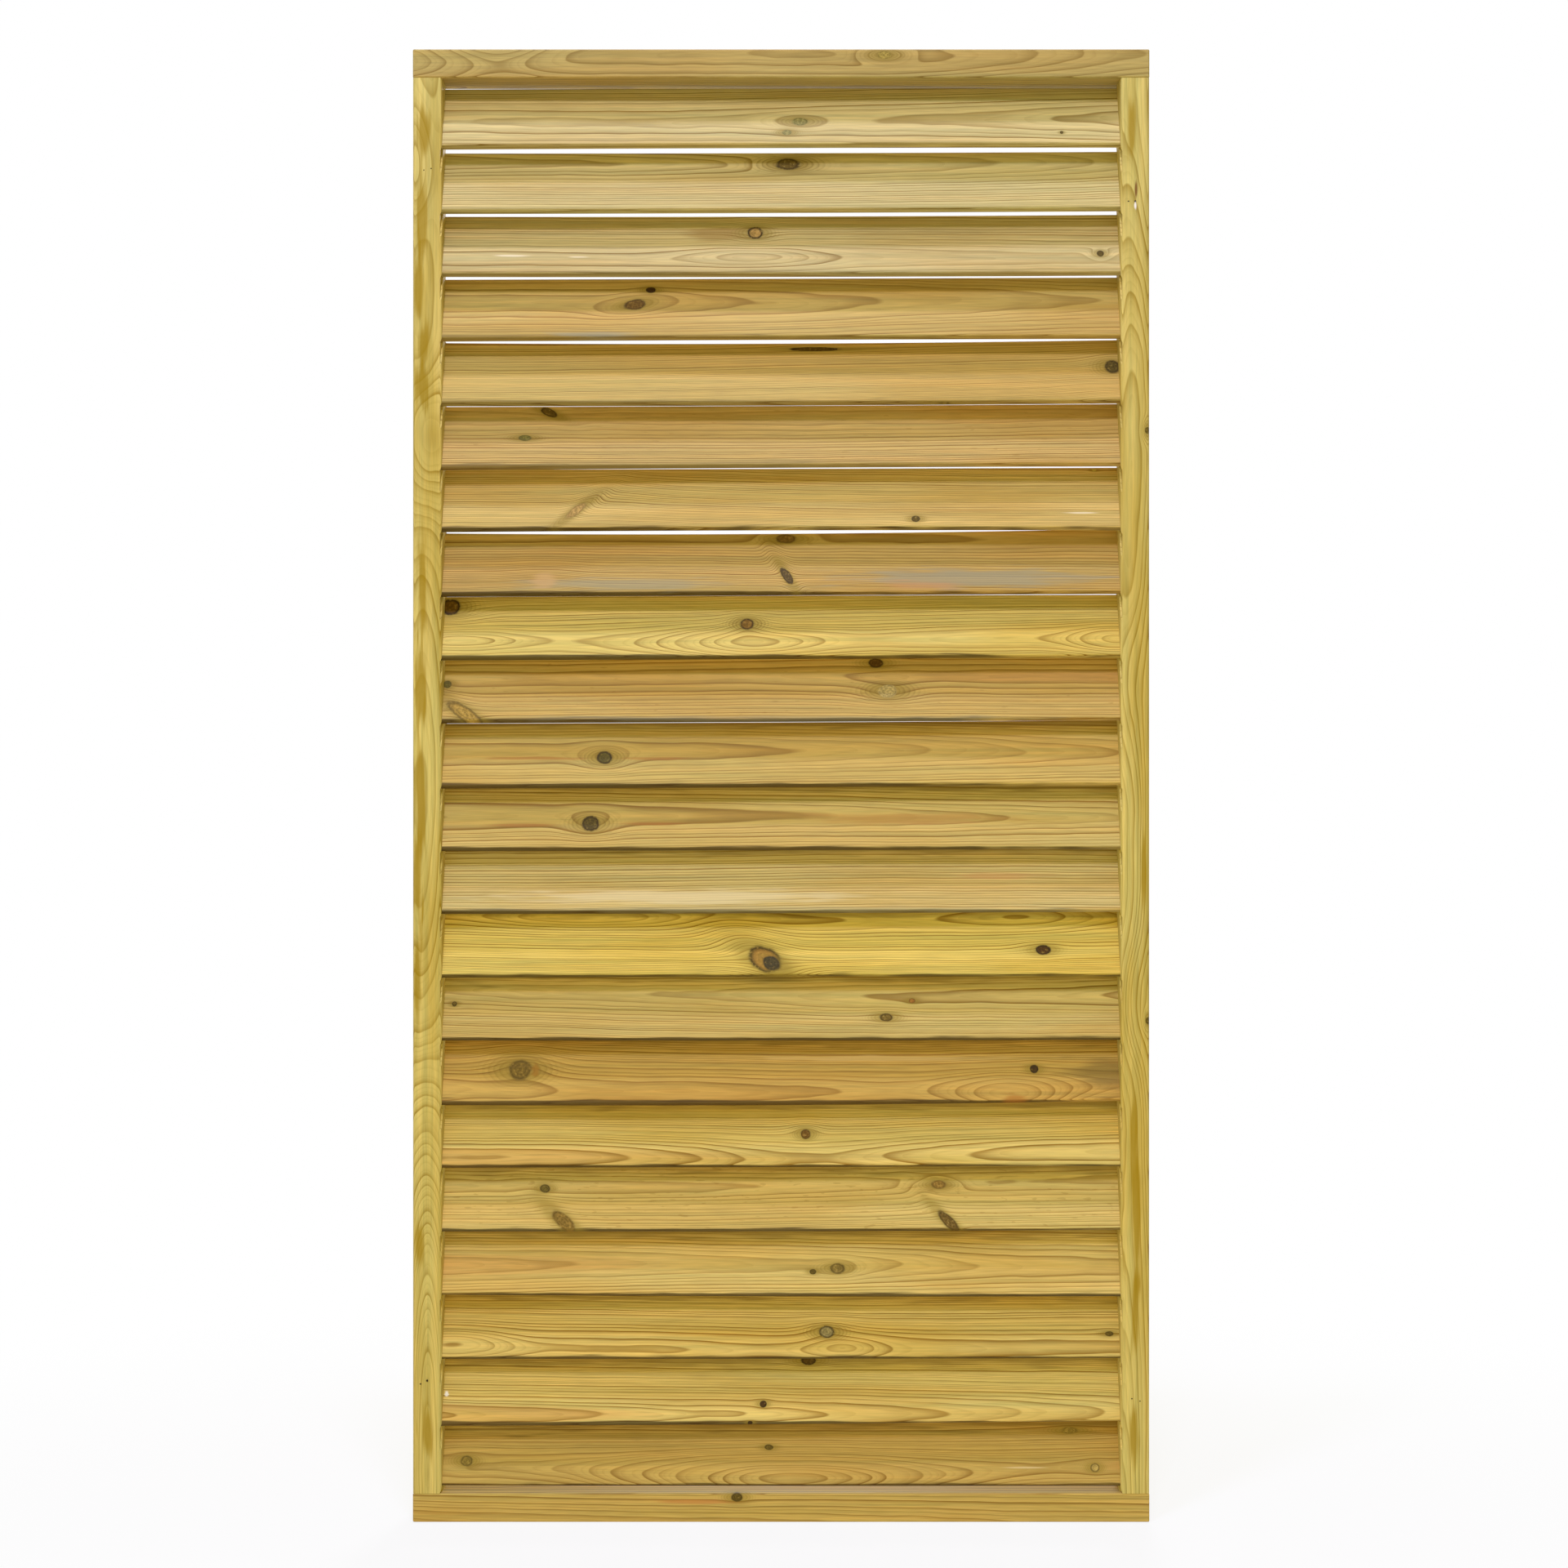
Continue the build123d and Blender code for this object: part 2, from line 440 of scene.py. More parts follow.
def pine(
    name, middle, turn, seed, timber, pith, taper=(0, 0), wander=14, ring=5.0, crowd=8.0,
    contrast=0.95, flecks=0.0, knots=(), patches=(),
):
    """A timber's material. pith is how far through and up from the board's middle the tree's
    own middle lies, taper how far it leans away per metre, ring the width of an inner year, in
    mm, and crowd how fast the years narrow outwards, per metre."""
    material = bpy.data.materials.new(name)
    material.use_nodes = True
    tree = material.node_tree
    shader = tree.nodes["Principled BSDF"]
    coordinates = tree.nodes.new("ShaderNodeTexCoord").outputs["Object"]
    inputs = {"Vector": coordinates, "Location": middle, "Rotation": turn}
    board = add_node(tree, "Mapping", inputs, vector_type="TEXTURE").outputs[0]
    rough, _ = noise(tree, board, (90.0, 20.0, 90.0), (seed, seed, seed))
    mottle, _ = noise(tree, board, (300.0, 40.0, 300.0), (seed, seed, seed))
    grain, lift, bends = board, 0.0, []
    for each in knots:
        bent = place_group(
            tree, "Grain round a knot", Board=board, Grain=grain, Lift=lift, Rough=rough,
            Centre=each["centre"], Radius=each["radius"], Turn=each["turn"],
            Swirl=each["swirl"], Ovals=each["ovals"],
        )
        grain, lift = bent["Grain"], bent["Lift"]
        bends.append(bent)
    rings = place_group(
        tree, "Growth rings", Grain=grain, Pith=(0, pith[0] * mm, pith[1] * mm),
        Taper=(0, taper[0] * mm, taper[1] * mm), Wander=wander * mm, Ring_width=ring * mm,
        Crowding=crowd, Lift=lift, Seed=seed,
    )
    wood = place_group(
        tree, "Planed pine", Board=board, Latewood=rings["Latewood"], Radius=rings["Radius"],
        Seed=seed, Sapwood=srgb(*timber["sapwood"]), Summer=srgb(*timber["summer"]),
        Heartwood=srgb(*timber["heartwood"]), Heart_radius=timber["heart"] * mm,
        Stain=srgb(*timber["stain"]), Stained=timber["stained"], Contrast=contrast, Flecks=flecks,
    )
    colour = wood["Colour"]
    streaks, _ = noise(tree, board, (16.0, 60.0, 240.0), (seed, seed, seed))
    for each in patches:
        colour = place_group(
            tree, "Patch", Colour=colour, Board=board, Rough=streaks, Centre=each["centre"],
            Radius=each["radius"], Tint=each["tint"], Amount=each["amount"],
        )["Colour"]
    for each, bent in zip(knots, bends):
        if each["paint"]:
            colour = place_group(
                tree, "Knot", Colour=colour, Distance=bent["Distance"], Eye=bent["Eye"],
                Rough=rough, Mottle=mottle, Heart=each["heart"], Bark=each["bark"],
                Lines=each["lines"],
            )["Colour"]
    bump = add_node(tree, "Bump", {"Height": wood["Height"], "Distance": 1.0, "Strength": 0.6})
    feed(tree, shader.inputs["Base Color"], colour)
    feed(tree, shader.inputs["Roughness"], wood["Roughness"])
    feed(tree, shader.inputs["Normal"], bump.outputs[0])
    feed(tree, shader.inputs["Specular IOR Level"], 0.12)
    return material


# %% [markdown]
# ## Slats
# Each slat is a board with four rounded edges that leans back in the stiles' grooves. The
# boards are not quite level in them, and dry into slight bows, which is what makes some gaps
# between them show daylight on one side only. The shape is a rounded section carried along
# the board, moved up the slope by the slips of its ends and by its bow. Numpy gives all its
# points at once, which is shorter than modelling 22 boards by hand.


# %% Shape of a slat
def slat_section(thickness, width, arris, steps=6):
    """A rounded rectangle, anticlockwise: quarter circles at the corners, and on each side
    points close to both ends and between, so that the flats shade flat. Through and up."""
    turn = np.linspace(0, pi / 2, steps + 1)
    corner = np.stack([np.cos(turn), np.sin(turn)], 1) * arris
    inner = np.array([thickness / 2 - arris, width / 2 - arris])
    quarter = np.array([[0, -1], [1, 0]])
    arcs = []
    for sign in ((1, 1), (-1, 1), (-1, -1), (1, -1)):
        arcs.append(corner + inner * sign)
        corner = corner @ quarter.T
    sides = []
    for arc, following in zip(arcs, arcs[1:] + arcs[:1]):
        share = np.array([0.03, 0.35, 0.65, 0.97])[:, None]
        sides.append(np.vstack([arc, arc[-1] * (1 - share) + following[0] * share]))
    return np.vstack(sides)


def mesh_object(name, points, wrap):
    """A grid of points, rows by columns by xyz, as four-sided faces. Wrap closes each row into
    a ring and caps the first and last of them."""
    rows, columns = points.shape[:2]
    number = np.arange(rows * columns).reshape(rows, columns)
    ends = [number[0, ::-1].tolist(), number[-1].tolist()] if wrap else []
    number = np.hstack([number, number[:, :1]]) if wrap else number
    corners = [number[:-1, :-1], number[:-1, 1:], number[1:, 1:], number[1:, :-1]]
    faces = np.stack(corners, -1).reshape(-1, 4).tolist()
    mesh = bpy.data.meshes.new(name)
    mesh.from_pydata(points.reshape(-1, 3).tolist(), [], faces + ends)
    mesh.shade_smooth()
    mesh.set_sharp_from_angle(angle=radians(40))
    made = bpy.data.objects.new(name, mesh)
    scene.collection.objects.link(made)
    return made


# %% [markdown]
# A dressed slat takes the place of its CAD solid, which has the slips but is dead straight. It
# keeps that solid's section, ends and lean, and its own pine goes on with painted shade along its
# edges.

# %% Slats in place
slat_count, slat_pitch, panel_middle = 22, 78.07, 900  # pitch and height in mm
slat_thickness, slat_width, slat_arris = 10, 83, 2  # mm
slat_half, slat_stations = 416.5 * mm, 29  # half length, and cross-sections along it
slat_lean = radians(21)
slat_front, slat_edge = -slat_thickness / 2, slat_width / 2  # mm from the slat's middle
section = slat_section(slat_thickness * mm, slat_width * mm, slat_arris * mm)
# painted shade: the first colour darkens each slat's down-facing lower edge, the second paints a
# shadow strip under the slat above
lower_edge_shade, under_slat_shadow = (60, 44, 10), (92, 70, 12)
# slats below this one get the painted shadow strip under the slat above
last_open_slat = 10  # daylight or plain shade shows above the slats down to this one
end_to_end = 2000  # mm, so long that a mark's own ends don't show
print("slat section of", len(section), "points")


def slat_middle(number):
    """The height of a slat's middle: a pitch apart, and evenly about the panel's middle."""
    return (panel_middle + slat_pitch * ((slat_count + 1) / 2 - number)) * mm


def make_slat(number, slips, bow, crest=(0, 0, 0), edge=0.85, patches=(), **look):
    """One slat in place. Its centre line moves up the slope by a straight line from one end's
    slip to the other's, plus a parabola of the bow. The crest adds to the top edge alone, at
    the left end, the middle and the right end. All are in mm. Edge is how dark the lower edge
    is painted: painted shade on the face that looks down. In the lower half, a painted shadow
    also lies along the front of the top edge, under the next slat up, in a strip that widens
    from slat to slat."""
    x = np.linspace(-slat_half, slat_half, slat_stations)
    share = (x / slat_half + 1) / 2
    rise = (slips[0] * (1 - share) + slips[1] * share + bow * 4 * share * (1 - share)) * mm
    through = np.broadcast_to(section[:, 0], (len(x), len(section)))
    extra = np.polyval(np.polyfit([0, 0.5, 1], crest, 2), share) * mm
    top = np.clip(section[:, 1] / section[:, 1].max(), 0, 1)
    up = section[:, 1] + rise[:, None] + extra[:, None] * top
    points = np.stack([
        np.broadcast_to(x[:, None], through.shape),
        through * np.cos(slat_lean) + up * np.sin(slat_lean),
        up * np.cos(slat_lean) - through * np.sin(slat_lean) + slat_middle(number),
    ], -1)
    name = f"slat_{number:02d}"
    board = mesh_object("dressed_" + name, points, wrap=True)
    middle = (0, 0, slat_middle(number))
    slip = sum(slips) / 2
    # painted shade: the lower edge, which faces down, is darkened in its colour by edge
    marks = [patch(0, slip - slat_edge - 1.5, end_to_end, 4.0, lower_edge_shade, edge), *patches]
    # painted shadow: on the lower slats a dark strip runs along the front of the top edge, where
    # the slat above shades it, widening from slat to slat
    if number > last_open_slat:
        reach = 0.95 * number - 1.5
        crown = slip + slat_edge
        marks.append(patch(0, crown, end_to_end, reach, under_slat_shadow, 0.5, slat_front, 4))
    material = pine(name, middle, (-slat_lean, 0, 0), number * 7.3, patches=marks, **look)
    board.data.materials.append(material)
    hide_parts(name)
    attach(board, "root")
    print(name, "has", len(look.get("knots", ())), "knots or swirls and", len(marks), "marks")


# %% [markdown]
# ## The boards, from the top
# Each board's values say how it was cut. A pith close behind the face gives arches, one far
# above or below gives straight lines. Tapers turn the arches to the right where they are more
# than nothing and to the left where they are less. Timbers are named by their tint.

# %% Tints of pine
straw = dict(
    sapwood=(210, 193, 124), summer=(130, 100, 20), heartwood=(206, 178, 108), heart=14,
    stain=(196, 170, 90), stained=0.6,
)
golden = dict(
    sapwood=(210, 184, 104), summer=(130, 90, 10), heartwood=(204, 164, 90), heart=16,
    stain=(196, 160, 70), stained=0.6,
)
lemon = dict(
    sapwood=(220, 197, 102), summer=(134, 96, 0), heartwood=(208, 172, 84), heart=10,
    stain=(206, 174, 60), stained=0.6,
)


def tint(timber, *sapwood):
    """The same timber with its sapwood at another colour and the rest of it in step."""
    share = np.array(sapwood) / timber["sapwood"]
    parts = ("sapwood", "summer", "heartwood", "stain")
    return {**timber, **{part: tuple(np.array(timber[part]) * share) for part in parts}}


print("sapwood of straw, golden and lemon:", [kind["sapwood"] for kind in (straw, golden, lemon)])

# %% [markdown]
# Slats 1 to 4 are the palest, with grey-green knots that hardly show, a ringed one in a soaked
# streak, and a few scratches. Daylight shows between them, and their lower edges get less painted
# shade.

# %% Slats 1 to 4
blue_grey = (150, 150, 122)


def scratch(x, up, along, high, amount, colour=(240, 226, 180)):
    """A pale mark in a slat's front face alone."""
    return patch(x, up, along, high, colour, amount, slat_front, 2)


make_slat(
    1, (0.5, 3.5), 1.0, (1.4, 0.3, 0), edge=0.2, timber=straw, pith=(36, -4), taper=(-12, 6),
    ring=6,
    knots=[
        knot(23, -6, 10, 6, heart=(160, 150, 78), bark=0.2, ovals=-1.0),
        knot(7, -22, 6, 4, heart=(164, 154, 84), bark=0.2), knot(344, -22, 2, 2, bark=0.8),
    ],
)
make_slat(
    2, (-0.5, 3.5), -0.5, (1.0, 0, -0.5), edge=0.2, timber=straw, pith=(24, 27), taper=(28, 4),
    ring=5.5,
    knots=[knot(8, 25, 14, 8, bark=0.8, heart=(120, 98, 36), ovals=1.6, swirl=0.7, lines=0.4)],
)
make_slat(
    3, (0.5, 2.5), -1.0, (-0.3, 0, 0.6), edge=0.3, timber=tint(straw, 206, 188, 124),
    pith=(12, -20), taper=(12, 4), ring=7.5, crowd=14,
    knots=[
        knot(-32, 17, 9, 8, bark=1.0, heart=(196, 158, 84), swirl=0.8, ovals=1.0),
        loops(-33, -15, 24, 9, -1.8), knot(392, -13, 4, 4, bark=0.9, ovals=1.5),
    ],
    patches=[
        scratch(-330, -16, 26, 1.5, 0.7), scratch(-250, -18, 14, 1.2, 0.6),
        patch(-80, 16, 40, 12, (150, 112, 40), 0.5),
    ],
)
make_slat(
    4, (-1.0, 3.0), 0.5, (1.4, 0.5, 0.6), edge=0.4, timber=tint(golden, 203, 177, 100),
    pith=(34, 10), taper=(12, 8), ring=6, contrast=0.8,
    knots=[
        knot(-161, 26, 6, 4, bark=0.9, heart=(76, 50, 16)),
        knot(-180, 5, 13, 7, heart=(128, 96, 34), ovals=-2.0, turn=-10, lines=0.1),
    ],
    patches=[patch(-230, -38, 60, 5, blue_grey, 0.5)],
)

# %% [markdown]
# Slats 5 to 8 carry more bark and stain: a slit of bark along the top edge of the fifth, short
# resin flecks on the sixth, ripples beside a slanting branch, and a blue-grey bloom on the eighth.

# %% Slats 5 to 8
make_slat(
    5, (-2.5, 1.5), -1.0, (2.5, 0.8, 3.0), edge=0.5, timber=golden, pith=(18, 60), taper=(4, 14),
    ring=5, crowd=9, contrast=0.8,
    knots=[
        knot(40, 32, 28, 2.6, bark=1.0, heart=(110, 84, 24), swirl=0.5, lines=0),
        knot(200, -44, 16, 2, bark=1.0, heart=(74, 52, 15), lines=0),
        knot(408, 7, 9, 9, bark=0.7, heart=(104, 88, 34), ovals=2.0),
        loops(420, -22, 24, 12, 4.0),
    ],
)
make_slat(
    6, (-3.0, 2.5), 0.75, (2.0, 0, 0.7), edge=0.6, timber=tint(golden, 206, 177, 104),
    pith=(18, 26), taper=(0, 10), ring=8, crowd=14, contrast=0.9, flecks=0.2,
    knots=[
        knot(-287, 32, 11, 5, bark=0.8, turn=25, heart=(120, 96, 36), lines=0.1),
        knot(-315, -4, 8, 4, bark=0.4, heart=(134, 124, 50)),
    ],
    patches=[patch(0, -41, 400, 5, (150, 134, 80), 0.5)],
)
make_slat(
    7, (-0.5, 2.0), 1.25, (0, -1.2, 0.3), timber=tint(golden, 216, 191, 112), pith=(18, 80),
    taper=(8, -16), ring=5.5,
    knots=[
        knot(-252, -17, 15, 5, turn=-40, bark=0.3, heart=(196, 160, 84), ovals=2.5, swirl=0.3),
        loops(-200, 12, 16, 10, 2.0), knot(165, -28, 5, 4, bark=0.7),
        knot(387, 40, 3, 2, bark=0.0, heart=(226, 200, 90), lines=0),
    ],
    patches=[scratch(369, -20, 24, 1.6, 0.8)],
)
make_slat(
    8, (-2.0, 2.0), 0.0, (0.6, -1.9, 3.2), timber=tint(golden, 200, 171, 96), pith=(14, 34),
    taper=(10, -6), ring=6.5, crowd=15, contrast=1.0,
    knots=[
        knot(6, 32, 12, 6, bark=0.5, ovals=1.5, heart=(140, 108, 46)),
        loops(-292, -27, 14, 12, 2.0),
        knot(7, -19, 12, 5, bark=0.8, heart=(110, 90, 44), ovals=1.0, turn=60, lines=0),
    ],
    patches=[
        patch(-190, -30, 150, 9, blue_grey, 0.5), patch(235, -22, 170, 15, blue_grey, 0.6),
        patch(-290, -26, 18, 12, (204, 164, 104), 0.6), patch(170, -32, 60, 6, (196, 142, 88), 0.5),
    ],
)

# %% [markdown]
# Slats 9 to 12 show the clearest figure. The ninth is lemon yellow, with rings that close round
# a knot and open again, and the eleventh and twelfth have a dark knot in a reddish streak.

# %% Slats 9 to 12
reddish = (172, 110, 50)
make_slat(
    9, (-2.0, 2.0), 0.0, (0, 0, -0.9), timber=tint(lemon, 222, 200, 110), pith=(18, -20),
    taper=(-14, 6), ring=6, crowd=16, contrast=1.0,
    knots=[
        knot(-407, 25, 11, 10, bark=1.0, heart=(120, 88, 24), ovals=2.0),
        loops(-400, -20, 26, 10, -3.5),
        knot(-42, 2, 8, 7, bark=0.9, heart=(150, 112, 40), ovals=-3.0, swirl=0.4, lines=0.4),
        loops(-37, -24, 26, 12, -4.0), loops(412, -20, 16, 12, -3.5),
    ],
)
make_slat(
    10, (-1.0, 3.0), 0.0, timber=tint(golden, 206, 177, 100), pith=(14, 14), taper=(-12, 8),
    ring=10, crowd=22, contrast=0.85, flecks=0.25,
    knots=[
        knot(117, 35, 9, 6, bark=0.8, heart=(104, 74, 24)),
        knot(131, -3, 12, 9, bark=0.1, heart=(200, 176, 104), ovals=-1.5, lines=0.3),
        knot(-387, -33, 26, 8, turn=35, heart=(186, 152, 66), lines=0.1),
        knot(-411, 6, 5, 5, bark=0.5, heart=(120, 108, 40)),
    ],
    patches=[patch(0, -39, 400, 4, blue_grey, 0.3)],
)
make_slat(
    11, (-3.0, 1.5), -0.5, (0.5, 0.5, 0.5), timber=golden, pith=(28, 0), taper=(14, 4), ring=5.5,
    crowd=9, contrast=0.85,
    knots=[knot(-217, -7, 9, 8, bark=0.9, heart=(108, 96, 40), ovals=-2.0, lines=0.3)],
    patches=[patch(-300, -8, 70, 2.5, reddish, 0.6), patch(-150, -8, 50, 2.5, reddish, 0.5)],
)
make_slat(
    12, (-1.5, 1.0), 0.0, timber=tint(golden, 212, 191, 114), pith=(22, -2), taper=(15, 0),
    ring=5.5, crowd=10, contrast=0.9,
    knots=[knot(-234, -10, 10, 9, bark=0.9, heart=(104, 88, 36), ovals=-2.0, lines=0.3)],
    patches=[
        patch(-320, -12, 60, 2.5, reddish, 0.5), patch(-160, -10, 50, 2.5, reddish, 0.5),
        patch(150, -4, 140, 8, (190, 142, 74), 0.6),
    ],
)

# %% [markdown]
# Slats 13 to 17 go from a quiet, straight-grained board to two with large knots. The biggest,
# on the fourteenth, is half orange and half black, with a ring of bark all round.

# %% Slats 13 to 17
make_slat(
    13, (-0.5, 2.5), -0.5, timber=tint(golden, 217, 198, 128), pith=(10, 76), taper=(0, 8), ring=6,
    crowd=5, contrast=1.0,
    patches=[
        patch(-130, -22, 250, 10, (224, 208, 156), 0.6), patch(270, 4, 60, 6, (206, 152, 92), 0.5),
        patch(0, -38, 380, 4, (176, 168, 120), 0.4),
    ],
)
make_slat(
    14, (-0.5, 1.0), 0.5, timber=tint(lemon, 232, 209, 108), pith=(16, 32), taper=(6, -8),
    wander=24, ring=5.5, crowd=12, contrast=1.0,
    knots=[
        knot(
            -20, -21, 20, 14, swirl=0.8, ovals=1.0, bark=1.0, lines=0, heart=(188, 134, 60),
            turn=30,
        ),
        knot(-12, -26, 11, 9, bark=0.2, heart=(84, 74, 40), turn=30, swirl=0, lines=0),
        knot(322, -9, 9, 6, bark=1.0, heart=(92, 64, 16), ovals=1.0, lines=0.1),
        loops(-240, 34, 40, 10, -3.0), loops(300, 36, 30, 10, -3.0),
    ],
)
make_slat(
    15, (0.5, 1.5), -0.5, timber=tint(golden, 210, 189, 114), pith=(20, 18), taper=(-16, 0),
    ring=5, crowd=12, contrast=1.0,
    knots=[
        knot(-402, 3, 3, 3, bark=0.9), knot(129, -14, 8, 5, bark=0.7, heart=(124, 100, 36)),
        knot(161, 7, 4, 3, bark=0.5, heart=(176, 122, 50)),
    ],
)
make_slat(
    16, (-0.5, 4.5), -2.5, timber=tint(golden, 202, 168, 86), pith=(20, -22), taper=(12, 8),
    wander=22, ring=5.5, crowd=10, contrast=0.9,
    knots=[
        knot(-321, 0, 14, 13, bark=0.3, heart=(140, 114, 46), ovals=-2.0),
        knot(311, 1, 5, 5, bark=1.0, heart=(80, 60, 20)),
        loops(282, -36, 22, 15, -5.0),
    ],
    patches=[
        patch(120, 14, 160, 4, (214, 182, 110), 0.6), patch(-302, 0, 6, 12, (176, 100, 34), 0.8),
        # the last patch on the next line is painted shade: the right end of this slat, which lies
        # back under slat 15, darkened in its colour
        patch(286, -36, 16, 6, (166, 104, 34), 0.6), patch(400, -4, 50, 26, (116, 96, 46), 0.6),
    ],
)
make_slat(
    17, (0.5, 2.5), 0.0, timber=dict(tint(lemon, 221, 198, 113), heart=19), pith=(13, -26),
    taper=(0, 6), ring=6, crowd=17, contrast=1.0,
    knots=[
        knot(30, -1, 6, 6, heart=(134, 98, 36), ovals=-1.0, swirl=0.7),
        loops(30, -26, 50, 18, 3.0),
    ],
)

# %% [markdown]
# Slats 18 to 22 have branches cut lengthwise, which leave slanting spikes, then small tight
# knots and, at the bottom, rings that swirl round a branch just under the face.

# %% Slats 18 to 22
make_slat(
    18, (0.5, 2.5), -1.0, timber=tint(golden, 218, 195, 116), pith=(14, 18), taper=(6, 10), ring=9,
    crowd=20, contrast=0.75, flecks=0.25,
    knots=[
        knot(-291, 10, 6, 5, bark=0.7, heart=(120, 104, 40), lines=0.1),
        knot(-267, -30, 18, 8, turn=40, swirl=0.3, bark=0.3, heart=(150, 120, 48), lines=0),
        knot(194, 15, 9, 5, bark=0.4, heart=(166, 132, 60), ovals=1.5),
        knot(205, -30, 17, 6, turn=45, swirl=0.3, heart=(124, 98, 40), lines=0),
    ],
)
make_slat(
    19, (1.0, -1.0), -1.0, timber=dict(tint(golden, 219, 195, 115), heart=25), pith=(22, -6),
    taper=(17, 0), ring=5.5, crowd=10, contrast=0.9,
    knots=[
        knot(69, -10, 9, 6, heart=(150, 126, 58), ovals=-1.0), knot(39, -14, 4, 3, bark=0.8),
    ],
)
make_slat(
    20, (0.5, 1.5), -0.5, timber=tint(lemon, 217, 191, 106), pith=(12, -30), taper=(14, 0),
    wander=18, ring=6, crowd=11, contrast=1.0,
    knots=[
        knot(56, -10, 9, 7, bark=0.9, heart=(164, 148, 90), ovals=-1.5, lines=0.3),
        loops(78, -28, 16, 10, -2.0), knot(403, -12, 5, 3), loops(-400, -20, 20, 12, -2.5),
    ],
)
make_slat(
    21, (-3.5, 2.5), -1.0, timber=tint(golden, 221, 199, 115), pith=(16, -30), taper=(34, 0),
    ring=5, crowd=11,
    knots=[
        knot(34, 32, 9, 5, bark=0.9, heart=(100, 76, 24), ovals=1.0),
        knot(-22, -20, 4, 4, bark=1.0, heart=(80, 56, 15)),
        knot(-38, -42, 3, 2, bark=1.0, heart=(70, 50, 14)),
    ],
    patches=[scratch(-411, -8, 3, 4, 1.0, (250, 248, 240))],
)
make_slat(
    22, (1.5, 1.0), -0.5, timber=tint(golden, 198, 168, 88), pith=(18, -24), taper=(-16, 4),
    wander=22, ring=4.5, crowd=9, contrast=0.8,
    knots=[
        knot(-386, -12, 7, 6, heart=(160, 136, 60)), knot(-15, 4, 5, 3, bark=0.7),
        knot(356, 24, 10, 4, bark=0.3, heart=(176, 148, 66)),
        knot(385, -20, 5, 5, bark=0.7, heart=(200, 172, 90)), loops(8, -44, 60, 22, -11.0),
    ],
    patches=[scratch(300, -20, 38, 1.4, 0.8, (220, 196, 136))],
)
boards = [made for made in scene.objects if made.name.startswith("dressed_")]
print(len(boards), "slats,", sum(len(made.data.polygons) for made in boards), "faces")

# %% [markdown]
# ## Frame
# The stiles and rails are right as the CAD model has them, grooves and all, so they stay and
# only get their timber. Staples that held the packing have left pairs of pin holes in the
# stiles, and the treatment has left amber streaks along them.

# %% Tints and marks of the frame
pale = dict(
    sapwood=(216, 198, 114), summer=(146, 114, 0), heartwood=(202, 170, 76), heart=8,
    stain=(182, 154, 44), stained=0.6,
)
dull = tint(straw, 190, 168, 98)
upright, level = (0, -pi / 2, 0), (0, 0, 0)
frame_front = -22.5  # mm from a frame timber's middle


def dress(node, material):
    """Gives a CAD node one material and no other."""
    frame["nodes"][node].data.materials.clear()
    frame["nodes"][node].data.materials.append(material)
    print(node, "is now", material.name)


def timber_node(node, turn, seed, **look):
    """Gives a CAD node its own pine, centred on the node's box."""
    low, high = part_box(node)
    material = pine(node, tuple((low + high) / 2), turn, seed, **look)
    dress(node, material)


def staple_hole(x, up):
    """A pin hole of a packing staple in a frame timber's front face."""
    return patch(x, up, 1.3, 1.3, (40, 26, 14), 1.0, frame_front, 3)


def amber(x, up, along, high):
    """A streak where the treatment soaked in more."""
    return patch(x, up, along, high, (160, 128, 0), 0.75)


# %% [markdown]
# A stile's length is upright: its material turns the board's x that way, and z then runs to the
# left. Its knots and holes stay on the front, where the photograph shows them.

# %% Stiles
timber_node(
    "left_stile", upright, 31.0, timber=pale, pith=(24, 0), taper=(12, 4), wander=50, ring=3.4,
    crowd=0, contrast=0.85,
    knots=[loops(421, 0, 26, 16, 6.0), loops(-900, -2, 140, 16, 26.0), loops(760, 14, 26, 12, 4.0)],
    patches=[
        amber(800, 4, 40, 10), amber(700, 6, 70, 8), amber(610, 10, 50, 7), amber(540, 4, 30, 9),
        amber(490, 6, 30, 10), amber(240, 6, 70, 7), amber(120, 8, 60, 8), amber(-10, 8, 90, 7),
        amber(-110, 12, 60, 6), amber(-240, 12, 60, 6), amber(-560, 10, 40, 7),
        amber(-790, 0, 40, 9),
        staple_hole(752, 4), staple_hole(754, -5), staple_hole(-731, 8), staple_hole(-727, 0),
    ],
)
timber_node(
    "right_stile", upright, 57.0, timber=pale, pith=(20, 14), taper=(10, -6), wander=30, ring=3.0,
    crowd=2, contrast=0.85,
    knots=[
        knot(434, -15, 4, 3, ovals=3.0, face=frame_front, depth=9),
        knot(-287, -16, 4, 3, ovals=2.0, face=frame_front, depth=9),
        loops(-265, 0, 24, 14, 5.0), loops(130, 6, 30, 10, 3.0),
    ],
    patches=[
        amber(-420, 2, 70, 6), amber(-520, -2, 110, 7), amber(-640, 0, 60, 6), amber(800, 4, 50, 6),
        amber(-790, 2, 40, 6), amber(-100, -10, 60, 4),
        staple_hole(714, 8), staple_hole(714, 0),
        patch(728, -1, 10, 2, (120, 76, 32), 0.9, frame_front, 3),
        patch(709, 0, 4, 1.5, (246, 240, 226), 1.0, frame_front, 3),
        staple_hole(-749, 4), staple_hole(-752, -6),
    ],
)

# %% [markdown]
# The rails lie along x as the slats do. The top one is duller, with one pale knot, and the
# bottom one has a small knot beside a reddish streak.

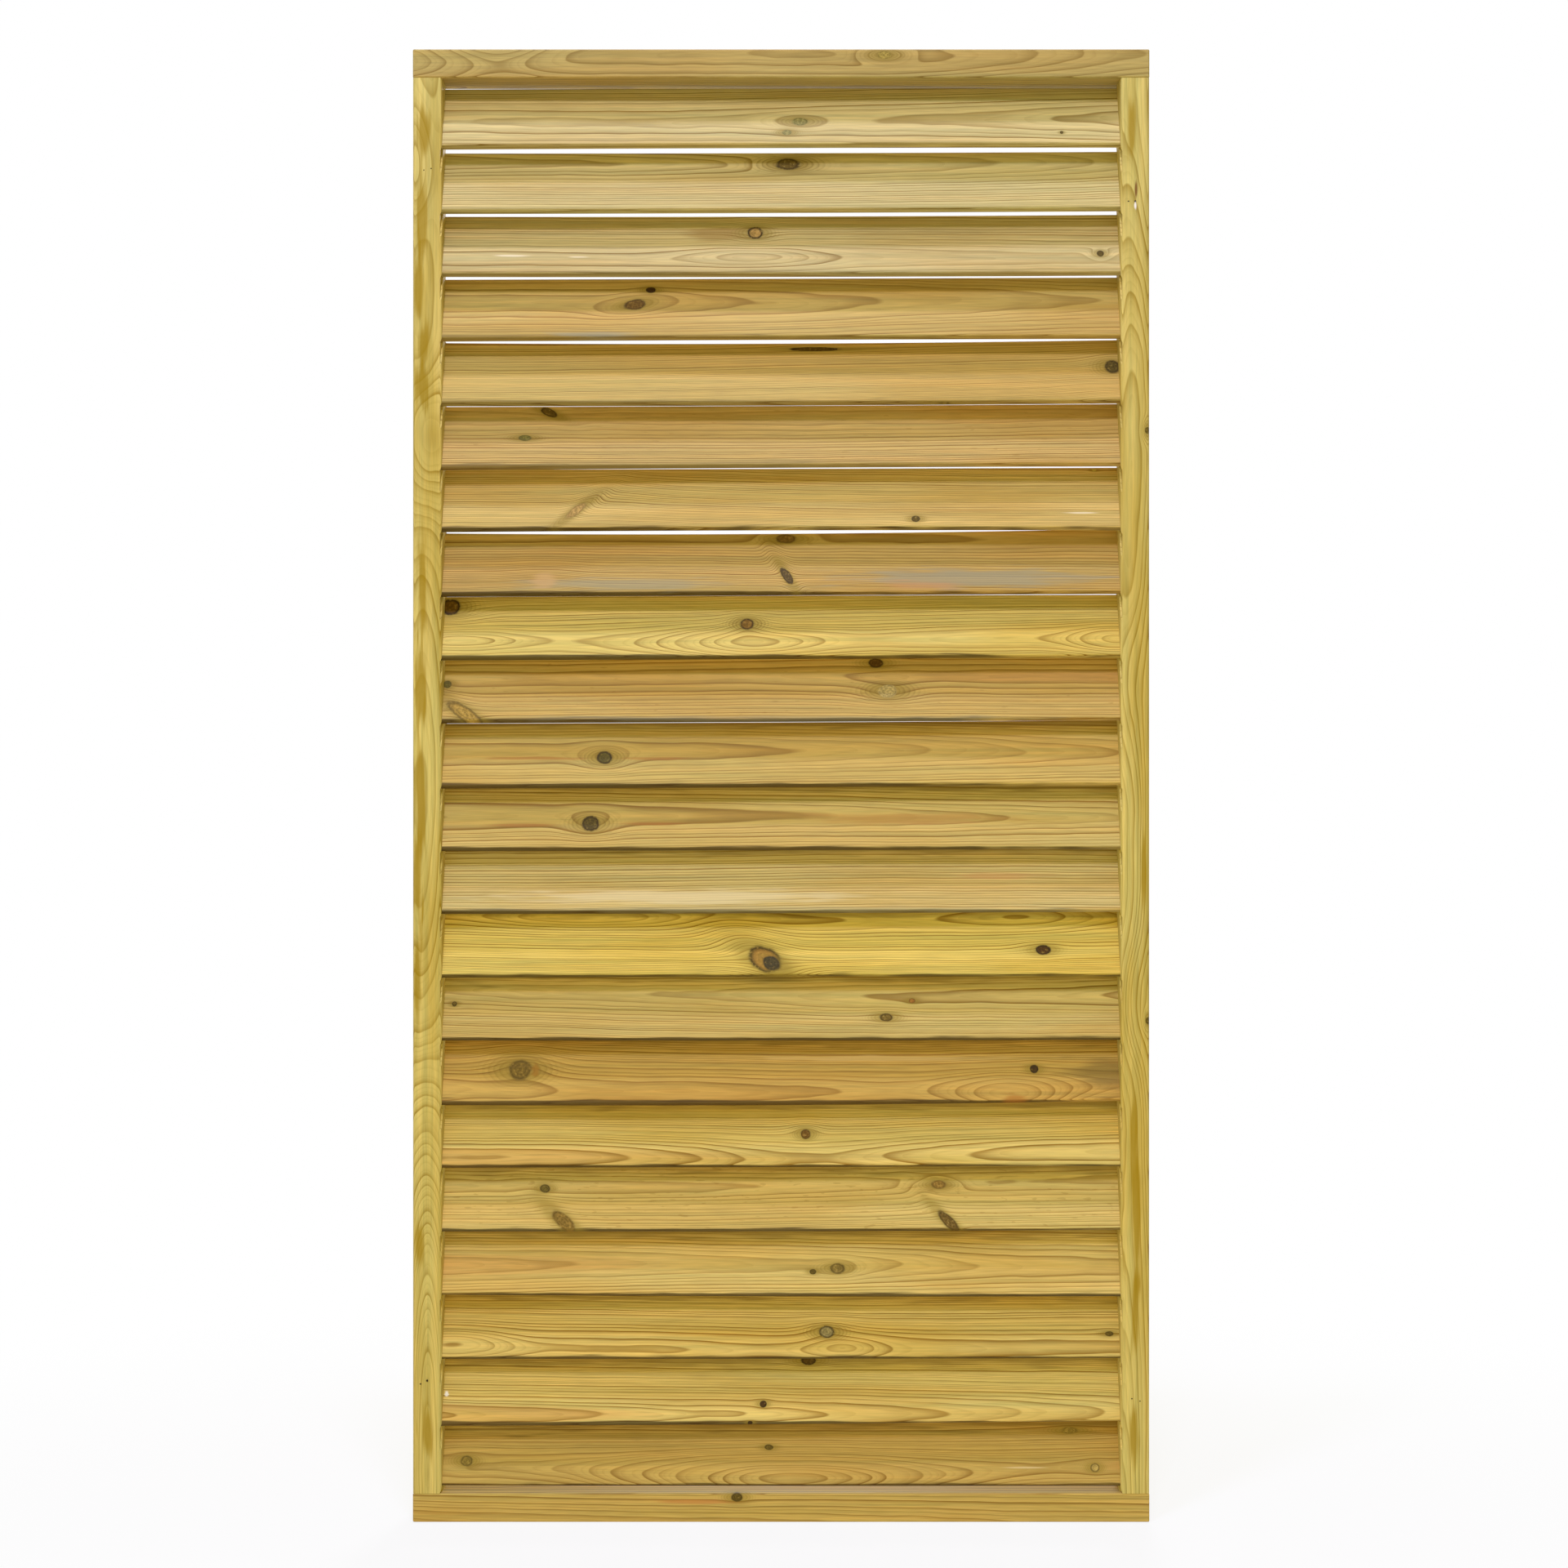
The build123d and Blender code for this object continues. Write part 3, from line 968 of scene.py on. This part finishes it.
# %% Rails
timber_node(
    "top_rail", level, 71.0, timber=dull, pith=(22, 10), taper=(24, 4), wander=30, ring=3.6,
    crowd=2, contrast=0.8,
    knots=[
        loops(-350, 36, 20, 24, 5.0),
        knot(126, 10, 9, 5, bark=0.2, heart=(180, 156, 70), ovals=3.0, face=frame_front, depth=12),
    ],
)
timber_node(
    "bottom_rail", level, 93.0, timber=tint(golden, 205, 176, 94), pith=(20, -26), taper=(8, 4),
    ring=5, crowd=6, contrast=0.8, knots=[knot(-54, 13, 7, 5, face=frame_front, depth=12)],
    patches=[patch(-110, 8, 60, 3.5, (196, 134, 66), 0.7)],
)

# %% [markdown]
# ## Fixings
# Staples and brads are zinc-plated wire, sunk flush. Only their crowns show, as dull grey
# dashes in the rails and the stiles' outer sides. They keep their CAD shape, and for pieces so
# small a cloudy grey metal is enough.

# %% Zinc-plated steel
zinc = bpy.data.materials.new("zinc_plated_steel")
zinc.use_nodes = True
tree = zinc.node_tree
shader = tree.nodes["Principled BSDF"]
coordinates = tree.nodes.new("ShaderNodeTexCoord").outputs["Object"]
cloud, _ = noise(tree, coordinates, (400.0, 400.0, 400.0), (1.0, 1.0, 1.0), 3.0)
clouded = blend(tree, cloud, srgb(150, 152, 150), srgb(196, 198, 194))
feed(tree, shader.inputs["Base Color"], clouded)
feed(tree, shader.inputs["Roughness"], cloud * 0.3 + 0.3)
feed(tree, shader.inputs["Metallic"], 1.0)
for name in ("top_rail_staples", "bottom_rail_staples", "left_slat_brads", "right_slat_brads"):
    dress(name, zinc)

# %% [markdown]
# ## Studio
# The background is white because the floor and the world show white to the camera, and not
# because of more light on the timber. Close to the panel the floor shows a little less white,
# which keeps the panel's shadow.


# %% Floor and world
floor_drop = 0.5 * mm  # so that the floor and the bottom rail don't share a plane
side = np.linspace(-9, 9, 7)  # m
across, back = np.meshgrid(side, side)
ground = np.stack([across, back, np.full_like(across, -floor_drop)], -1)
floor = mesh_object("floor", ground, wrap=False)
paint = bpy.data.materials.new("pale_floor")
paint.use_nodes = True
tree = paint.node_tree
shader = tree.nodes["Principled BSDF"]
feed(tree, shader.inputs["Base Color"], (0.8, 0.8, 0.8, 1))
feed(tree, shader.inputs["Roughness"], 0.9)
floor.data.materials.append(paint)


def seen(tree):
    """1 for a ray from the camera, or from a shiny or clear surface, and 0 for light itself."""
    path = tree.nodes.new("ShaderNodeLightPath").outputs
    ray = Field(tree, path["Is Camera Ray"]) + path["Is Glossy Ray"] + path["Is Transmission Ray"]
    return ray.calc("MINIMUM", 1.0)


place = tree.nodes.new("ShaderNodeTexCoord").outputs["Object"]
far = length(tree, vector(tree, "MULTIPLY", place, (0.6, 1.0, 1.0))).ramp(0.2, 1.2)
white = add_node(tree, "Emission", {"Color": (1, 1, 1, 1), "Strength": 1.0})
share = seen(tree) * (far * 0.15 + 0.85)
mix = add_node(tree, "MixShader", {0: share, 1: shader.outputs[0], 2: white.outputs[0]})
tree.links.new(mix.outputs[0], tree.nodes["Material Output"].inputs["Surface"])

warm = (1.0, 0.88, 0.26)
room_light = 0.38  # from all round, where the camera sees 1
world = bpy.data.worlds.new("studio")
world.use_nodes = True
scene.world = world
tree = world.node_tree
background = tree.nodes["Background"]
shown = seen(tree)
feed(tree, background.inputs["Strength"], shown * (1 - room_light) + room_light)
feed(tree, background.inputs["Color"], blend(tree, shown, (*warm, 1.0), (1, 1, 1, 1)))
print("floor of", len(floor.data.polygons), "faces, world", world.name)

# %% [markdown]
# Two lamps above the front give the bands of shade that each slat throws on the next: one high
# and far in front, one nearly overhead. They are rather blue, and what comes up from the floor
# and in from the room is warm, so that lit faces stay pale and the shade turns amber. Two plainer
# lamps light the back.


# %% Lamps
def lamp(name, place, size, level, colour):
    """A square area lamp aimed at the panel's middle. At level 1 it alone would light a white
    card that faces it to white: its watts are level times pi squared times distance squared."""
    light = bpy.data.lights.new(name, "AREA")
    made = bpy.data.objects.new(name, light)
    aim = np.array([0, 0, panel_middle * mm]) - place
    light.size = size
    light.color = colour
    light.energy = level * pi**2 * float(aim @ aim)
    made.location = place
    made.rotation_euler = Vector(aim).to_track_quat("-Z", "Y").to_euler()
    made.visible_camera = False
    scene.collection.objects.link(made)
    print(name, round(light.energy), "W")


lamp("front_lamp", (-0.5, -4.1, 4.95), 0.7, 0.33, (1.0, 0.99, 1.45))
lamp("overhead_lamp", (-0.2, -0.75, 4.2), 0.25, 0.345, (0.94, 1.0, 1.85))
lamp("floor_fill", (0.0, -1.8, 0.2), 0.8, 0.25, warm)
lamp("back_lamp", (0.8, 3.6, 3.4), 1.2, 0.34, (1.0, 0.98, 1.1))
lamp("back_fill", (0.0, 2.2, 0.3), 0.8, 0.3, (1.0, 0.96, 0.8))
